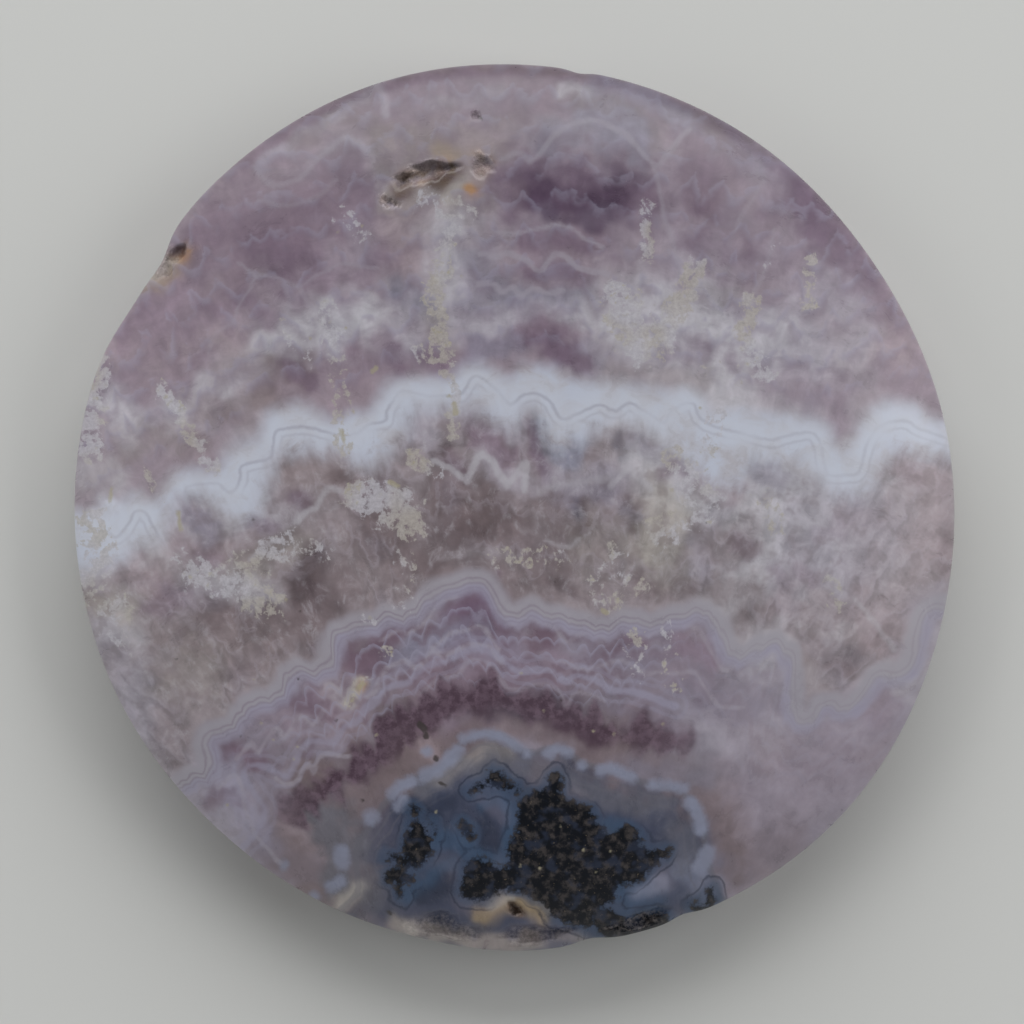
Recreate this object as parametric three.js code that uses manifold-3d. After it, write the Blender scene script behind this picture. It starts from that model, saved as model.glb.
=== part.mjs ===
// A round, low-domed cabochon of sow belly agate, polished on top and ground flat underneath.
// One stone, so one solid. It lies on its flat back with its dome up.
// Millimetres, +Z up, the origin under the middle of the stone, on the back.
import * as THREE from "three";
import { mergeVertices } from "three/addons/utils/BufferGeometryUtils.js";
import Module from "manifold-3d";

const DIAMETER = 40; // across the stone, on average
const HEIGHT = 7.2; // back to the top of the dome
const GIRDLE = 2.6; // height of the widest line, where the dome meets the rounded edge of the back
const TUCK = 2.4; // how far the edge of the back rounds in under the widest line
const DOME_ROUND = 2.2; // the higher, the flatter the middle of the dome
const DOME_EDGE = 0.6; // the lower, the steeper the dome meets the widest line

const AROUND = 150; // facets round the stone
const DOME_STEPS = 18; // rings of facets from the widest line to the top
const TUCK_STEPS = 6; // rings of facets from the back to the widest line

// Where the hand-ground outline leaves the circle: direction from +X and half-width in degrees, mm outwards.
// The first five are flats and swells of the grinding, and the others are nicks and chips in the edge.
const OUTLINE_SWELLS = [
  { direction: 316, spread: 26, out: 0.42 },
  { direction: 108, spread: 24, out: 0.26 },
  { direction: 34, spread: 20, out: -0.24 },
  { direction: 226, spread: 16, out: -0.12 },
  { direction: 269, spread: 9, out: 0.14 },
  { direction: 150, spread: 7.5, out: -0.42 },
  { direction: 145, spread: 3, out: -0.22 },
  { direction: 280, spread: 2.5, out: -0.2 },
  { direction: 292.5, spread: 2, out: -0.16 },
  { direction: 81.5, spread: 1.6, out: -0.12 },
];
const SWELL_REACH = 5; // the higher, the closer to the edge a swell stays

// Hollows in the face: the middle, half-length and half-width, turn of the long side from +X in degrees, depth.
const HOLLOWS = [
  { name: "open vug", at: [-3.75, 15.45], size: [1.15, 0.62], turn: 20, depth: 1.3 },
  { name: "vug's tail", at: [-4.95, 14.95], size: [0.5, 0.34], turn: 35, depth: 0.8 },
  { name: "shallow vug", at: [-1.45, 15.6], size: [0.55, 0.5], turn: 60, depth: 0.55 },
  { name: "crescent pit", at: [-5.7, 14.05], size: [0.5, 0.2], turn: -25, depth: 0.35 },
  { name: "pinhole", at: [-1.75, 17.75], size: [0.2, 0.2], turn: 0, depth: 0.4 },
  { name: "hole in the matrix", at: [0.05, -18.2], size: [0.45, 0.35], turn: -35, depth: 0.9 },
  { name: "chipped edge", at: [-15.75, 11.2], size: [0.95, 0.55], turn: 50, depth: 0.8 },
  { name: "rough rim, left", at: [-3.3, -19.1], size: [2.2, 0.6], turn: -8, depth: 0.55 },
  { name: "rough rim, right", at: [0.9, -19.4], size: [1.9, 0.55], turn: 4, depth: 0.6 },
  { name: "black ledge", at: [5.6, -18.8], size: [1.5, 0.45], turn: 17, depth: 0.5 },
];
const HOLLOW_SINK = 1.6; // a hollow's cutter is this many times as deep as its bite, so that its rim is steep
const HOLLOW_LUMPS = 0.16; // how uneven a hollow's wall is

const STONE_COLOUR = 0xa79daa;

// How far the outline leaves the circle in a direction given in degrees.
function swellOf(direction) {
  let out = 0;
  for (const swell of OUTLINE_SWELLS) {
    const apart = THREE.MathUtils.euclideanModulo(direction - swell.direction + 180, 360) - 180;
    out += swell.out * Math.exp(-((apart / swell.spread) ** 2));
  }
  return out;
}

// How far a point of the perfectly round stone moves outwards to meet the real outline.
function outwardShift(x, y) {
  const share = Math.hypot(x, y) / (DIAMETER / 2);
  return swellOf(THREE.MathUtils.radToDeg(Math.atan2(y, x))) * share ** SWELL_REACH;
}

// Height of the dome at a share of the way from the axis to the widest line.
function domeHeight(share) {
  const rise = HEIGHT - GIRDLE;
  return GIRDLE + rise * (1 - share ** DOME_ROUND) ** DOME_EDGE;
}

// The profile of the perfectly round stone, from the middle of the back to the top of the dome.
function profile() {
  const widest = DIAMETER / 2;
  const points = [new THREE.Vector2(0, 0)];
  for (let step = 0; step <= TUCK_STEPS; step++) {
    const turn = ((step / TUCK_STEPS) * Math.PI) / 2;
    const radius = widest - TUCK * (1 - Math.sin(turn));
    points.push(new THREE.Vector2(radius, GIRDLE * (1 - Math.cos(turn))));
  }
  for (let step = 1; step < DOME_STEPS; step++) {
    const share = Math.cos(((step / DOME_STEPS) * Math.PI) / 2);
    points.push(new THREE.Vector2(widest * share, domeHeight(share)));
  }
  points.push(new THREE.Vector2(0, HEIGHT));
  return points;
}

// The stone before its hollows: the turned profile, standing on its back, pushed out to the real outline.
function blankStone() {
  const geometry = new THREE.LatheGeometry(profile(), AROUND);
  geometry.rotateX(Math.PI / 2);
  const position = geometry.attributes.position;
  for (let i = 0; i < position.count; i++) {
    const [x, y] = [position.getX(i), position.getY(i)];
    const radius = Math.hypot(x, y);
    if (radius === 0) continue;
    const stretch = 1 + outwardShift(x, y) / radius;
    position.setXY(i, x * stretch, y * stretch);
  }
  return geometry;
}

// Height of the face over a point of the back.
function faceHeight(x, y) {
  const radius = Math.hypot(x, y) - outwardShift(x, y);
  return domeHeight(Math.min(radius / (DIAMETER / 2), 1));
}

// The cutter for one hollow: a lumpy egg, raised until it bites the hollow's depth into the face.
function hollowCutter(hollow) {
  const geometry = new THREE.SphereGeometry(1, 18, 12);
  geometry.rotateX(Math.PI / 2);
  const position = geometry.attributes.position;
  const [x, y] = hollow.at;
  for (let i = 0; i < position.count; i++) {
    const [u, v, w] = [position.getX(i), position.getY(i), position.getZ(i)];
    const around = Math.atan2(v, u);
    const waves = Math.sin(3 * around + x) + 0.7 * Math.sin(5 * around + y) + 0.5 * Math.sin(7 * around - x);
    const lump = 1 + HOLLOW_LUMPS * waves * Math.hypot(u, v);
    position.setXYZ(i, u * lump, v * lump, w);
  }
  const height = hollow.depth * HOLLOW_SINK;
  const widen = 1 / Math.sqrt(1 - ((height - hollow.depth) / height) ** 2);
  geometry.scale(hollow.size[0] * widen, hollow.size[1] * widen, height);
  geometry.rotateZ(THREE.MathUtils.degToRad(hollow.turn));
  geometry.translate(x, y, faceHeight(x, y) - hollow.depth + height);
  return geometry;
}

// A closed geometry as a solid for cutting: shared vertices merged and collapsed faces dropped.
function solidOf(wasm, geometry) {
  const bare = geometry.clone();
  bare.deleteAttribute("normal");
  bare.deleteAttribute("uv");
  const merged = mergeVertices(bare, 1e-5);
  const corners = merged.index.array;
  const faces = [];
  for (let i = 0; i < corners.length; i += 3) {
    const [a, b, c] = corners.slice(i, i + 3);
    if (a !== b && b !== c && c !== a) faces.push(a, b, c);
  }
  return new wasm.Manifold(
    new wasm.Mesh({
      numProp: 3,
      vertProperties: new Float32Array(merged.attributes.position.array),
      triVerts: new Uint32Array(faces),
    }),
  );
}

function geometryOf(solid) {
  const mesh = solid.getMesh();
  const geometry = new THREE.BufferGeometry();
  geometry.setAttribute("position", new THREE.BufferAttribute(mesh.vertProperties, 3));
  geometry.setIndex(new THREE.BufferAttribute(mesh.triVerts, 1));
  geometry.computeVertexNormals();
  return geometry;
}

const wasm = await Module();
wasm.setup();

let stone = solidOf(wasm, blankStone());
for (const hollow of HOLLOWS) stone = stone.subtract(solidOf(wasm, hollowCutter(hollow)));

const agate = new THREE.Mesh(
  geometryOf(stone),
  new THREE.MeshStandardMaterial({ color: STONE_COLOUR, roughness: 0.15, metalness: 0 }),
);
agate.name = "agate";
agate.geometry.computeBoundingBox();
const middle = agate.geometry.boundingBox.getCenter(new THREE.Vector3());
agate.position.set(-middle.x, -middle.y, 0);

const group = new THREE.Group();
group.add(agate);
export default group;
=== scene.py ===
# A round, low-domed cabochon of sow belly agate, lying on its flat back, dome up.
# The stone is one mesh. Its banding and inclusions are drawn from guide lines and brush strokes,
# which are stored on the mesh, and the material adds crystals, moss, fine lines and wear to them.
from types import SimpleNamespace
import bpy
import numpy as np
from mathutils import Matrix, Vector


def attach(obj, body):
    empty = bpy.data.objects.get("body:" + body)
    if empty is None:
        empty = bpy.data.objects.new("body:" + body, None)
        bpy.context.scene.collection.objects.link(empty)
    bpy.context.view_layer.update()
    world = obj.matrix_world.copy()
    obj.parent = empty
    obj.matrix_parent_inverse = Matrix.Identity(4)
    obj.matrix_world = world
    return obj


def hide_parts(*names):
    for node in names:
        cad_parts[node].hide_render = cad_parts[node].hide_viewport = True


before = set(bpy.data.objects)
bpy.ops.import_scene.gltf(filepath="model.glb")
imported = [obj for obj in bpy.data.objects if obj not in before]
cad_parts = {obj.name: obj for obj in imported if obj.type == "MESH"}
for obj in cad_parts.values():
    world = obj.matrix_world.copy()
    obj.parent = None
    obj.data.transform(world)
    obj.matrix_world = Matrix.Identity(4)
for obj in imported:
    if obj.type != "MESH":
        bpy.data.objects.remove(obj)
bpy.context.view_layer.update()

MM = 0.001

# The stone's form, in millimetres, as in the solid that it replaces.
DIAMETER = 40.0
HEIGHT = 7.2
GIRDLE = 2.6
TUCK = 2.4
DOME_ROUND = 2.2
DOME_EDGE = 0.6

# Flats, swells, nicks and chips of the outline: direction and half-width in degrees, millimetres outwards.
OUTLINE_SWELLS = [
    (316, 26, 0.42), (108, 24, 0.26), (34, 20, -0.24), (226, 16, -0.12), (269, 9, 0.14),
    (150, 7.5, -0.42), (145, 3, -0.22), (280, 2.5, -0.2), (292.5, 2, -0.16), (81.5, 1.6, -0.12),
]
SWELL_REACH = 5
TRIM = 0.9998 # keeps the finer mesh inside the faceted solid's box

# Hollows in the face: middle, half-length and half-width, turn in degrees, depth, in millimetres. Most
# are shallower than the solid's, because deep ones turn nearly black, and the real ones are brown.
HOLLOWS = [
    ((-3.85, 15.2), (1.2, 0.5), 14, 0.5),
    ((-5.0, 14.8), (0.5, 0.34), 30, 0.45),
    ((-1.45, 15.5), (0.55, 0.5), 60, 0.25),
    ((-5.7, 13.8), (0.5, 0.2), -25, 0.25),
    ((-1.75, 17.75), (0.2, 0.2), 0, 0.15),
    ((0.05, -18.2), (0.45, 0.35), -35, 0.55),
    ((-15.75, 11.2), (0.95, 0.55), 50, 0.25),
    ((-3.3, -19.1), (2.2, 0.6), -8, 0.55),
    ((0.9, -19.4), (1.9, 0.55), 4, 0.6),
    ((5.6, -18.8), (1.5, 0.45), 17, 0.5),
]
HOLLOW_WALL = 1.3 # the lower, the steeper a hollow's wall
HOLLOW_LUMPS = 0.16 # how uneven a hollow's outline is

# Where the mesh is finer, for the hollows: middle and reach in millimetres, how far the points crowd in.
CROWDS = [((-3.4, 15.5), 3.2, 0.45), ((0.2, -18.6), 3.0, 0.35), ((-15.7, 11.0), 2.4, 0.4)]
CROWD_EDGE = 1.5 # how close to the widest line the crowding fades

# Rings of points on the face, down the side and on the back.
FACE_RINGS = 160
SIDE_RINGS = 7
BACK_RINGS = 50
RIM_CROWDING = 0.08 # how much the rings of points crowd towards the widest line, and how close to it
RIM_CROWDING_REACH = 12

# Where the parts lie on the texture, which is 1 across: middle and radius, or the start, length, and
# low and high edge of a strip.
FACE_ON_TEXTURE = (0.42, 0.58, 0.413)
BACK_ON_TEXTURE = (0.845, 0.185, 0.148)
SIDE_ON_TEXTURE = (0.006, 0.985, 0.005, 0.03)
BACK_MARGIN = 0.5 # millimetres that the back's place on the texture has to spare

# How far the bands shift for each millimetre that they run down into the stone, and how far the
# noises do along their third axis.
LEAN = (0.25, -0.3)
DEPTH_IN_NOISE = 0.6

# The view: how the photograph's pixels lie on the stone, at the height of its widest line.
PIXELS = 1024
PIXELS_PER_MM = 22.0
CENTRE_PIXEL = (514.5, 507.5)
CAMERA_HEIGHT = 300.0
SENSOR = 36.0

# Where the crystals grow away from, in millimetres from the stone's middle, and how far off they are.
CRYSTAL_CENTRE = (1.8, -33.0)
CRYSTAL_REACH = 36.0

# Hair lines in the lace: millimetres inside its edge, half-width, strength.
LACE_HAIR_LINES = [(0.34, 0.09, 0.6), (0.56, 0.09, 0.5), (0.76, 0.08, 0.3), (1.1, 0.08, 0.15)]

# The values on the mesh that the material reads, besides the colour and the place in the pattern.
FIELDS = ("white_top", "white_line", "white_low", "lace_line", "second_lace", "wine_arc", "core",
          "bead", "ink", "spot", "glint", "moss", "vein", "sunk", "buried", "light")

# Waves that make the strokes' edges uneven: length and height in pixels, and how many there are of
# each. Strokes narrower than a broad one, in pixels, are shifted less.
WOBBLE_SEED = 11
WOBBLE_WAVES = [(150, 6), (70, 5), (36, 5), (19, 3.4), (11, 2.2)]
WAVES_OF_A_SIZE = 4
BROAD_STROKE = 24

# A stroke is painted out to this many half-widths, and its faintest part is cut off.
BRUSH_REACH = 3.5
BRUSH_CUT = 0.05

FAR_OFF = 3000 # in pixels, well beside the stone

# Light: a large, low window beyond the stone, weaker ones round it, and a sky that is darkest
# overhead. Each lamp has a place, a size and a power, in metres and watts.
LAMPS = [
    ("window", (0.0, 0.62, 0.3), (1.0, 0.5), 6.05),
    ("right side", (0.62, 0.1, 0.35), (0.6, 0.5), 2.1),
    ("left side", (-0.62, 0.1, 0.35), (0.6, 0.5), 1.1),
    ("near side", (0.0, -0.62, 0.35), (1.0, 0.5), 0.2),
]
LIGHT_COLOUR = (0.99, 1.0, 1.0)
SKY_LOW = 0.6
SKY_HIGH = 0.09

FLOOR_SIZE = 1.2
FLOOR_COLOUR = (0.62, 0.62, 0.605, 1)

# How much more light a tone reflects than its look from 0 to 255 says, and how much brighter the light
# is on the far and right slopes of the dome, for which the tones make up.
ALBEDO_GAIN = 1.03
FAR_SLOPE_LIGHT = 0.3
FAR_EDGE_LIGHT = 0.45
RIGHT_SLOPE_LIGHT = 0.05

# Colours of the stone, as they look in even light, from 0 to 255.
TONES = {
    "grape": (80, 62, 82), "plum": (106, 88, 106), "mauve": (126, 109, 123), "lilac": (142, 131, 143),
    "violet_grey": (128, 122, 138), "pale_lilac": (158, 152, 163), "milk": (176, 173, 180),
    "ice": (184, 189, 204), "frost": (192, 196, 208), "rose": (148, 133, 139), "fawn": (138, 126, 129),
    "umber": (110, 97, 100), "soot": (84, 72, 76), "lavender": (134, 127, 141), "wine": (74, 58, 69),
    "claret": (108, 90, 103), "periwinkle": (132, 136, 156), "slate": (64, 70, 90), "steel": (60, 77, 101),
    "blue_ink": (38, 44, 60), "chalk": (138, 131, 129), "sand": (140, 124, 102), "rust": (160, 122, 84),
    "olive": (158, 151, 128), "brown": (96, 80, 70), "cream": (166, 160, 154),
    "sky_grey": (122, 118, 132), "lace_grey": (153, 149, 158), "lace_lilac": (147, 143, 162),
    "ink": (4, 6, 13), "ink_brown": (60, 55, 54), "core_grey": (100, 99, 108),
    "pit_dark": (152, 132, 120), "crust_dark": (104, 96, 92),
}

# The plain colours: that of the upper zone, and for each further zone the field that is 0 at its edge,
# how many millimetres the change takes, and the colour.
UPPER_ZONE = (144, 131, 141)
ZONES = [
    ("white_line", 0.6, (144, 134, 139)), ("lace_line", 0.3, (132, 124, 136)), ("core", 0.12, (66, 70, 88)),
]


def line_of(text):
    """The points of a line, from words such as 524,182."""
    return [tuple(float(number) for number in word.split(",")) for word in text.split()]


def drawn(text):
    """What rows of text describe: each row's tone and numbers, and last the points of its line.

    A row that starts with spaces goes on with the row above it.
    """
    made = []
    for row in text.strip().replace("\n ", " ").splitlines():
        head = [word if word.isidentifier() else float(word) for word in row.split() if "," not in word]
        places = [word for word in row.split() if "," in word]
        made.append((*head, line_of(" ".join(places))))
    return made


# Guide lines of the banding, read off the photograph from left to right, in its pixels.
WHITE_TOP = line_of("""
    60,512 86,508 103,508 116,504 127,493 136,489 153,497 164,475 177,467 194,465 212,467 220,456 233,443
    255,434 264,412 277,404 299,399 320,408 335,415 351,410 368,404 382,384 399,375 425,373 447,374 458,366
    468,361 481,360 494,364 507,373 520,364 533,362 551,362 564,368 577,374 594,377 620,378 642,383 664,387
    681,384 692,386 705,395 712,408 735,405 770,410 792,412 818,419 831,425 840,442 848,440 857,423 870,405
    892,397 913,401 928,408 941,414 980,425
""")
WHITE_LINE = line_of("""
    60,528 103,530 114,537 122,533 129,523 135,512 143,511 149,518 156,532 164,544 172,549 180,544 182,520
    184,498 188,487 207,484 218,484 227,491 233,492 240,480 241,467 255,462 270,458 273,447 276,432 288,428
    305,427 316,429 327,432 345,436 359,432 370,424 385,421 387,410 396,397 399,392 412,392 427,396 445,396
    460,395 468,384 475,376 486,381 499,392 510,405 520,397 533,393 544,397 551,403 562,419 577,414 590,408
    601,405 616,411 629,403 642,410 653,416 664,423 672,410 692,403 701,419 720,428 745,434 770,440 783,437
    796,434 813,433 821,445 824,462 829,475 848,475 859,472 866,447 874,432 887,423 907,421 922,430 980,448
""")
WHITE_LOW = line_of("""
    -60,562 60,560 107,562 131,542 155,534 168,508 180,494 200,493 216,500 232,510 250,512 262,480 275,454
    300,448 340,448 354,456 372,462 396,438 410,412 424,405 450,405 471,402 490,411 509,421 526,406 538,411
    552,442 570,438 590,432 612,417 627,416 645,426 665,436 690,452 708,478 735,480 752,458 765,454 790,460
    818,472 838,487 865,486 880,462 905,446 936,452 1090,458
""")
LACE_LINE = line_of("""
    150,800 173,777 192,768 199,764 194,744 203,725 225,718 240,699 255,691 273,687 279,668 294,662 320,661
    323,644 327,628 340,619 364,616 379,610 400,608 419,594 436,579 455,574 473,569 490,575 501,588 512,605
    520,601 533,599 551,605 568,609 599,618 620,614 638,609 651,614 664,609 683,605 696,601 714,605 725,618
    735,638 740,646 753,640 770,633 787,638 798,651 803,668 804,692 805,711 813,698 826,694 842,698 850,694
    859,685 868,672 879,666 900,661 907,638 915,609 928,599 941,596 990,590
""")
SECOND_LACE = line_of("""
    196,880 225,862 252,838 265,812 256,797 248,783 244,772 250,766 262,766 276,771 288,776 296,760 303,747
    312,741 326,742 336,741 345,726 358,722 366,708 376,703 384,690 396,684 408,682 418,672 432,664 448,661
    462,652 478,648 492,652 506,664 520,672 538,670 556,673 566,682 576,676 596,680 612,690 634,692 652,698
    676,706
""")
WINE_ARC = line_of("""
    272,815 280,800 292,790 303,786 312,774 322,772 332,768 344,767 352,752 366,748 377,740 378,724 389,718
    398,706 412,703 421,698 430,696 441,684 456,680 468,686 479,678 492,675 499,684 512,689 527,693 538,689
    554,696 564,707 573,697 586,705 592,714 604,722 620,723 640,715 648,723 660,727 676,731 692,736 684,748
    650,752 630,751 608,749 586,747 577,739 558,732 538,726 520,720 492,715 470,719 448,724 428,738 404,752
    384,764 362,782 340,797 322,806 304,822 288,828
""")
CORE = line_of("""
    335,925 345,905 358,888 354,862 360,838 374,818 386,800 402,786 424,774 446,762 460,744 478,734 498,734
    516,744 530,752 550,748 568,750 582,762 602,768 626,774 650,784 676,788 694,802 704,826 706,850 712,872
    720,892 724,940 560,990 400,970
""")

# The black mineral in the core: the outlines of its pieces.
INK = [outline for (outline,) in drawn("""
556,773 561,785 563,800 582,806 593,811 599,823 609,833 626,826 640,833 647,849 671,850 657,865 638,881
  621,889 614,903 596,914 590,928 560,922 541,903 528,893 507,889 486,899 464,898 462,882 468,864 485,857
  500,866 508,862 507,848 517,831 517,809 529,794 545,788
592,918 607,908 619,913 633,917 662,913 670,922 645,938 611,944 596,932
415,821 425,826 432,845 430,857 420,867 403,869 392,862 381,857 393,855 402,857 403,845 408,830
384,873 398,868 405,873 414,881 403,886 404,898 398,896 396,884 384,880
461,821 466,821 476,835 472,840 464,830
471,792 476,785 485,779 493,771 500,775 505,781 519,790 516,794 500,789 485,790
410,806 415,806 418,811 414,815 410,812
431,822 434,822 436,834 433,836
692,905 704,898 711,886 716,898 706,909 695,912
""")]

# The pale blue beads round the core: half-width in pixels, and the line that each follows.
BEADS = drawn("""
5.5 463,739 476,735 490,734 505,739 519,748
5.5 548,754 558,749 569,753
5 527,753
5.5 582,765
6 601,770 614,769 631,778
5.5 652,785 667,785 684,789
7 690,802 697,811 701,829
8 708,852 700,868
6.5 393,794 400,786 412,781
7 424,776 434,771 446,763 457,751
5.5 427,752
8.5 371,818
8 341,852 342,862
6.5 331,887 341,881
5 315,895
4.5 284,865
6 404,800 398,806
""")

# Dark specks: half-width in pixels and place.
SPOTS = drawn("""
3.2 420,724 424,728
3 426,735
3 436,757
2 361,801
1.5 240,736
1.3 298,678
1.3 336,721
1.5 388,913 391,916
1.3 253,520
1.5 478,117 480,119
1.2 243,568
1.2 196,652
1.4 440,782 446,785
1.3 640,745
1.2 560,700
1.3 300,612
1.3 706,520
1.2 176,660
""")

# Gold and cream specks, likewise: those on the black mineral are painted glints of its grains, the rest
# specks in the stone.
GLINTS = drawn("""
1.8 544,711
1.6 593,731
1.6 614,734
1.4 663,724
1.6 521,673
1.4 261,723
1.4 298,747
1.4 293,759
1.4 274,740
1.6 376,735
1.4 254,680
1.4 227,805
1.6 436,812
2.4 602,610 606,613
2.6 454,404 456,414
2.2 449,396
2 340,430 344,440
2 178,512 181,530
2 112,488 110,500
1.6 168,404
2.4 372,372 376,368
2.6 390,482 398,486
1.8 286,600
3 358,688 363,684
2.4 352,700
1.8 392,652
2.2 370,618
1.8 462,276
1.6 448,272
1.6 330,322
1.6 346,328
1.6 310,338
1.6 338,232
1.6 362,226
2 672,490
1.6 700,408
1.6 520,866
1.4 596,872
1.4 610,852
1.4 583,850
1.4 560,826
1.4 540,868
""")

# Pale moss that grows in the stone: half-width in pixels, density, and the line of each plume.
MOSS = drawn("""
14 0.8 446,210 452,236 446,262 436,290
16 0.6 402,196 430,200 460,206
12 0.85 432,290 440,330 446,362
10 0.8 416,344 424,356 440,346
9 0.85 448,372 453,400 452,440
13 0.7 330,310 338,350 342,390 346,450
12 0.6 340,216 356,236
10 0.85 164,388 190,430 218,470
13 0.9 100,366 94,400 86,452
8 0.7 146,470 158,500
22 0.95 362,496 384,500 410,520
12 0.8 410,460 436,476
22 0.8 196,574 240,586 270,606
18 0.75 240,560 286,548
8 0.85 644,208 646,262
24 0.9 622,300 640,340
16 0.9 692,272 676,310 660,345
15 0.85 756,296 744,336 766,372
10 0.8 814,262 806,310
7 0.6 775,240 766,262
22 0.75 676,462 704,500 660,530
18 0.62 612,560 600,596 640,586
12 0.75 716,420 710,450
16 0.7 764,500 776,530
12 0.65 828,570 836,600
15 0.75 108,604 122,612
12 0.6 176,556 190,560
8 0.8 344,702 352,690 362,684
6 0.75 386,654 394,650
10 0.6 668,630 674,690
16 0.6 126,640 104,600
12 0.7 290,548 330,560
18 0.6 500,560 560,556
14 0.6 414,530 404,600
20 0.5 280,330 320,350
7 0.7 374,620 362,616
14 0.55 700,370 740,378
10 0.7 430,190 474,214
14 0.7 640,676 634,640
20 0.8 92,520 100,560 88,590
""")

# Thin pale veins: half-width in pixels, strength, and the line that each follows.
VEINS = drawn("""
2.4 0.5 496,234 517,233 538,230 554,224 569,227 585,238 604,246
2.8 0.65 480,254 496,257 506,254 522,259 538,269 547,262 556,253 569,259 585,269 610,275
2.8 0.6 480,284 492,284 501,291 512,287 520,297 533,288 548,293 562,290
3.2 0.45 500,160 517,153 533,161 546,148 560,132 575,122 606,124 633,144 654,167 664,159 675,143 690,128
3.2 0.4 654,167 658,188 664,217 675,248 678,266
3.2 0.3 764,182 743,217 727,245
3 0.35 774,228 769,259 756,290
3.2 0.35 254,166 276,186 300,178 330,150 350,138 366,152
3 0.3 262,200 290,206 320,196 336,180
2.6 0.4 238,264 256,276 240,300 232,322
2.6 0.35 256,276 280,276 300,286 322,270 350,264 376,270
2.6 0.35 280,276 290,298 284,322
2.6 0.3 232,322 216,334 208,352
3 0.35 300,286 310,306 330,312
3.4 0.6 434,462 450,470 466,480
4 0.65 466,480 474,466 480,456 490,457 499,470 508,483
3.2 0.55 508,483 518,474 526,462 525,490
5 0.3 541,492 560,485 604,480 616,474
4 0.4 610,487 622,476 630,470 640,478 651,489
4 0.45 296,522 306,510 315,508 322,496 330,488 346,494 365,504
3 0.4 250,558 262,548 280,540
3.4 0.35 855,598 876,622 895,650
5 0.2 440,556 480,552 520,558
2.8 0.35 546,540 570,548 580,540
2.6 0.6 366,700 376,690 380,676 388,668 406,662 414,668 425,664 432,652 446,655 463,648 482,646 492,652
  502,664
2.4 0.55 433,647 445,638 454,634 470,630 481,630 490,638 498,650
2.6 0.4 420,693 437,682 449,678 458,674 466,663 477,661 489,665 496,674 504,686 516,689 527,688 542,684
  554,686 562,697 567,707 573,695 584,693 607,699
2.4 0.6 275,777 286,783 299,781 304,770 311,765 316,772 320,760 331,754 349,758
2.6 0.55 236,760 250,742 258,750 276,728 284,738 300,716 312,724 322,712
2.4 0.5 216,790 232,776 240,786 246,812 258,838 280,862
2.4 0.5 382,640 398,630 408,634 424,622 440,604 456,598
2.4 0.5 500,606 512,624 524,618 538,620 556,628 566,640 584,632 604,636
2.6 0.5 640,640 660,630 684,626 700,632 712,652 724,668 742,664 766,656 784,672 786,704 796,728 820,722
  846,716 868,700
2.6 0.45 560,660 590,668 620,662 650,676 690,672 706,690 720,706 744,704
""")

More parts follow.
